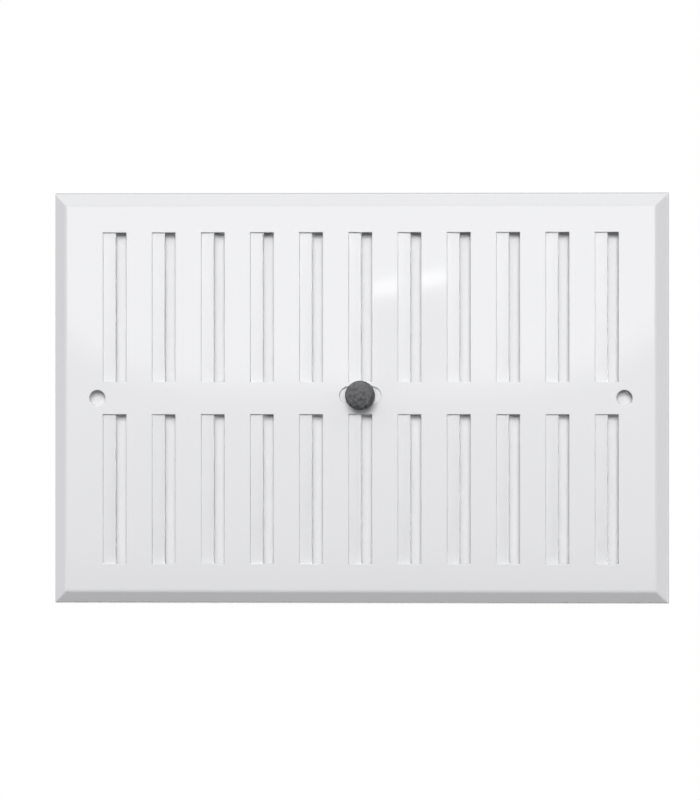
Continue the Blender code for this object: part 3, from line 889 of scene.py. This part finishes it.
def make_insert(material):
    """Threaded brass insert: two knurled bands with a groove between them."""
    low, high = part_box("knob_insert")
    length = high.y - low.y
    outer = (high.x - low.x) / 2.0
    end = outer - 0.0002
    lead = 0.0003
    root = outer - INSERT_GROOVE
    below = length / 2.0 - INSERT_GROOVE
    above = length / 2.0 + INSERT_GROOVE
    profile = [(INSERT_BORE, length), (end, length), (outer, length - lead), (outer, above), (root, above),
               (root, below), (outer, below), (outer, lead), (end, 0.0), (INSERT_BORE, 0.0)]
    insert = turned("knob_insert_knurled", profile, steps=INSERT_TEETH * 6, ring=True)
    for vert in insert.data.vertices:
        radius = math.hypot(vert.co.x, vert.co.z)
        if radius > outer - MERGE:
            notch = TOOTH_DEPTH * (1.0 - math.cos(INSERT_TEETH * math.atan2(vert.co.z, vert.co.x)))
            vert.co.x *= 1.0 - notch / radius
            vert.co.z *= 1.0 - notch / radius
    place_on_axis(insert, "knob_insert")
    insert.data.set_sharp_from_angle(angle=SHARP_ANGLE)
    as_piece(insert, material, "brass", "shutter", "knob_insert")


def make_knob_screw(material):
    low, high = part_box("knob_screw")
    head_height = 0.0016
    screw = screw_blank("knob_screw_pan_head", shank=0.0029, reach=high.y - low.y - head_height, head=0.0056,
                        head_height=head_height, recess_span=0.0031, recess_width=0.0007, pitch=0.0005)
    turn = Matrix.Rotation(math.radians(KNOB_SCREW_TURN), 4, "Y")
    screw.data.transform(Matrix.Translation(axis_place("knob_screw", head_height)) @ turn)
    as_piece(screw, material, "zinc_plated_steel", "shutter", "knob_screw")


# ---------------------------------------------------------------- stage

def look_from(obj, place, target):
    obj.location = place
    obj.rotation_euler = (target - place).to_track_quat("-Z", "Y").to_euler()


def camera_place():
    return AIM + Vector((math.sin(VIEW_YAW), -math.cos(VIEW_YAW), 0.0)) * VIEW_DISTANCE


def make_camera():
    data = bpy.data.cameras.new("camera")
    camera = link(bpy.data.objects.new("camera", data))
    look_from(camera, camera_place(), AIM)
    data.sensor_width = SENSOR
    data.lens = SENSOR * VIEW_DISTANCE / FRAME_HEIGHT
    data.clip_end = 50.0
    bpy.context.scene.camera = camera


def from_front(yaw, elevation):
    """Direction towards a light in front of the plate."""
    level = math.cos(elevation)
    return Vector((math.sin(yaw) * level, -math.cos(yaw) * level, math.sin(elevation)))


def make_sun(name, direction, strength, angle, receivers=()):
    """A sun that shines from a direction, on every object or on some. It isn't seen in reflections."""
    data = bpy.data.lights.new(name, "SUN")
    data.energy = strength
    data.angle = angle
    sun = link(bpy.data.objects.new(name, data))
    look_from(sun, direction.normalized(), Vector())
    sun.visible_glossy = False
    if receivers:
        group = bpy.data.collections.new(name + "_receivers")
        for obj in receivers:
            group.objects.link(obj)
        sun.light_linking.receiver_collection = group


def make_world():
    """White behind the object for the camera, and a dim studio that is brighter above, behind and aside."""
    world = bpy.data.worlds.new("studio")
    bpy.context.scene.world = world
    world.use_nodes = True
    tree = world.node_tree
    tree.nodes.clear()
    output = tree.nodes.new("ShaderNodeOutputWorld")
    white = add_node(tree, "ShaderNodeBackground", Color=(1.0, 1.0, 1.0, 1.0), Strength=1.0)
    sky = add_node(tree, "ShaderNodeBackground", Color=SKY_COLOUR)
    path = tree.nodes.new("ShaderNodeLightPath")
    across, back, up = parts_of(tree, tree.nodes.new("ShaderNodeTexCoord").outputs["Generated"])
    above = calculate(tree, "MULTIPLY_ADD", up, SKY_SLOPE, SKY_LEVEL)
    above = calculate(tree, "MAXIMUM", above, 0.0)
    behind = calculate(tree, "MULTIPLY", soft_step(tree, back, REAR_START, REAR_END), REAR_LEVEL)
    tilt = calculate(tree, "MULTIPLY_ADD", up, REAR_SLOPE, REAR_BASE)
    behind = calculate(tree, "MULTIPLY", behind, tilt)
    aside = calculate(tree, "MULTIPLY", across, across)
    above = calculate(tree, "MULTIPLY_ADD", aside, SIDE_LEVEL, above)
    tree.links.new(calculate(tree, "ADD", above, behind), sky.inputs["Strength"])
    blend_shaders(tree, path.outputs["Is Camera Ray"], sky.outputs[0], white.outputs[0], output)


def make_card(name, size, material):
    """A flat stage card in its local XY plane."""
    bm = bmesh.new()
    bmesh.ops.create_grid(bm, x_segments=1, y_segments=1, size=0.5)
    bmesh.ops.scale(bm, vec=(size[0], size[1], 1.0), verts=bm.verts)
    mesh = mesh_from(bm, name)
    mesh.materials.append(material)
    card = link(bpy.data.objects.new(name, mesh))
    return card


def make_floor():
    material = plain_material("pale_floor", FLOOR_COLOUR, roughness=0.7)[0]
    floor = make_card("floor", FLOOR_SIZE, material)
    floor.location = (0.0, 0.0, FLOOR_Z)
    floor.visible_diffuse = False


def make_backing():
    """The white surface seen through the slots: a card just inside the rim, seen from the front only, with
    painted shade that darkens its lower part.
    """
    material, tree, shader, place = plain_material("backing_card", CARD_WHITE, roughness=0.9)
    shader.inputs["IOR"].default_value = 1.1
    # Painted shade: the base colour darkens towards the card's bottom, standing in for light that dims
    # downwards
    lower = [channel * CARD_PAINTED_SHADE_SHARE for channel in CARD_WHITE]
    up = parts_of(tree, place)[1]
    painted_shade_tone = tint(tree, up, lower, CARD_WHITE, CARD_PAINTED_SHADE_START, CARD_PAINTED_SHADE_END)
    tree.links.new(painted_shade_tone, shader.inputs["Base Color"])
    geometry = tree.nodes.new("ShaderNodeNewGeometry")
    clear = tree.nodes.new("ShaderNodeBsdfTransparent")
    blend_shaders(tree, geometry.outputs["Backfacing"], shader.outputs[0], clear.outputs[0],
                  tree.nodes["Material Output"])
    card = make_card("backing", CARD_SIZE, material)
    card.rotation_euler = (math.radians(90.0), 0.0, 0.0)
    card.location = (0.0, WALL_Y - CARD_INSET, 0.0)
    card.visible_shadow = False
    card.visible_diffuse = False
    card.visible_glossy = False
    return card


def within(tree, value, low, high, soft):
    """1 between two limits, with soft edges."""
    return calculate(tree, "MULTIPLY", soft_step(tree, value, low - soft, low + soft),
                     soft_step(tree, value, high + soft, high - soft))


def within_region(tree, x, z, region):
    """1 in a region with soft edges."""
    return calculate(tree, "MULTIPLY", within(tree, x, *region[0]), within(tree, z, *region[1]))


def make_reflected_panel():
    """The bright room that the gloss reflects: light above, dimmer below, a window strip and a dark shape.

    The panel is scaled from the mirrored camera, so its own X and Y are where things appear on the plate.
    """
    material = bpy.data.materials.new("reflected_room")
    material.use_nodes = True
    tree = material.node_tree
    tree.nodes.clear()
    output = tree.nodes.new("ShaderNodeOutputMaterial")
    glow = add_node(tree, "ShaderNodeEmission", Color=(1.0, 1.0, 1.0, 1.0))
    tree.links.new(glow.outputs[0], output.inputs["Surface"])
    x, z = parts_of(tree, tree.nodes.new("ShaderNodeTexCoord").outputs["Object"])[:2]
    lower = calculate(tree, "MULTIPLY", soft_step(tree, z, LOWER_START, LOWER_END), LOWER_GLOW)
    rise = calculate(tree, "MAXIMUM", calculate(tree, "SUBTRACT", z, LOWER_END), 0.0)
    rise = calculate(tree, "MINIMUM", calculate(tree, "MULTIPLY", rise, RISE_SLOPE), RISE_LIMIT)
    bow = calculate(tree, "ABSOLUTE", calculate(tree, "DIVIDE", x, BOW_HALF_WIDTH))
    bow = calculate(tree, "MINIMUM", calculate(tree, "POWER", bow, BOW_POWER), BOW_LIMIT)
    bowed = calculate(tree, "MULTIPLY_ADD", bow, -BOW_DROP, z)
    upper = calculate(tree, "MULTIPLY", soft_step(tree, bowed, UPPER_START, UPPER_END), UPPER_GLOW)
    total = calculate(tree, "ADD", calculate(tree, "ADD", lower, rise), upper)
    slanted = calculate(tree, "MULTIPLY_ADD", x, -SLANT, z)
    for region, level in ((DARK_REGION, DARK_LEVEL), (STRIP_REGION, STRIP_LEVEL)):
        total = calculate(tree, "MULTIPLY_ADD", within_region(tree, x, slanted, region), level, total)
    fade = within_region(tree, x, z, PANEL_REGION)
    tree.links.new(calculate(tree, "MULTIPLY", total, fade), glow.inputs["Strength"])

    panel = make_card("reflected_room", PANEL_SIZE, material)
    camera = camera_place()
    share = PANEL_DISTANCE / (FACE_Y - camera.y)
    panel.rotation_euler = (math.radians(90.0), 0.0, 0.0)
    panel.scale = (1.0 + share, 1.0 + share, 1.0)
    panel.location = (-camera.x * share, FACE_Y - PANEL_DISTANCE, -camera.z * share)
    panel.visible_camera = False
    panel.visible_diffuse = False
    panel.visible_shadow = False
    panel.visible_transmission = False


# ---------------------------------------------------------------- build

face_white = moulded_white("face_white", FACE_WHITE, FACE_ROUGHNESS, FACE_PEEL)
shutter_white = moulded_white("shutter_white", SHUTTER_WHITE, SHUTTER_ROUGHNESS, SHUTTER_PEEL)
knob_grey = eroded_grey_with_painted_light("knob_grey")
rail_zinc = zinc_plate("rail_zinc", RAIL_GRAIN)
screw_zinc = zinc_plate("screw_zinc", SCREW_GRAIN)
brass = turned_brass("insert_brass")
nylon = natural_nylon("natural_nylon")

make_face_plate(face_white)
shutter = make_shutter(shutter_white)
make_rail("guide_rail_top", rail_zinc)
make_rail("guide_rail_bottom", rail_zinc)
make_rail_screws(screw_zinc)
make_knob(knob_grey)
make_ring("slip_washer", SLIP_WASHER_BORE, 0.0001, nylon, "natural_nylon")
make_ring("slide_bush", SCREW_CLEAR_BORE, 0.00015, nylon, "natural_nylon")
make_ring("rear_washer", SCREW_CLEAR_BORE, 0.0001, screw_zinc, "zinc_plated_steel")
make_ring("wave_washer", WAVE_WASHER_BORE, 0.00006, screw_zinc, "zinc_plated_steel", WAVE_HEIGHT)
make_insert(brass)
make_knob_screw(screw_zinc)

make_camera()
make_sun("rear", REAR_SUN, REAR_SUN_STRENGTH, REAR_SUN_ANGLE)
make_world()
make_floor()
backing = make_backing()
others = [obj for obj in bpy.context.scene.objects if obj.type == "MESH" and obj != shutter]
make_sun("key", from_front(SUN_YAW, SUN_ELEVATION), SUN_STRENGTH, SUN_ANGLE, others)
make_sun("inner_key", from_front(INNER_SUN_YAW, INNER_SUN_ELEVATION), INNER_SUN_STRENGTH, INNER_SUN_ANGLE,
         [shutter])
make_sun("backing_key", from_front(CARD_SUN_YAW, CARD_SUN_ELEVATION), CARD_SUN_STRENGTH, CARD_SUN_ANGLE,
         [backing])
make_reflected_panel()
bpy.context.scene.view_settings.view_transform = "Standard"
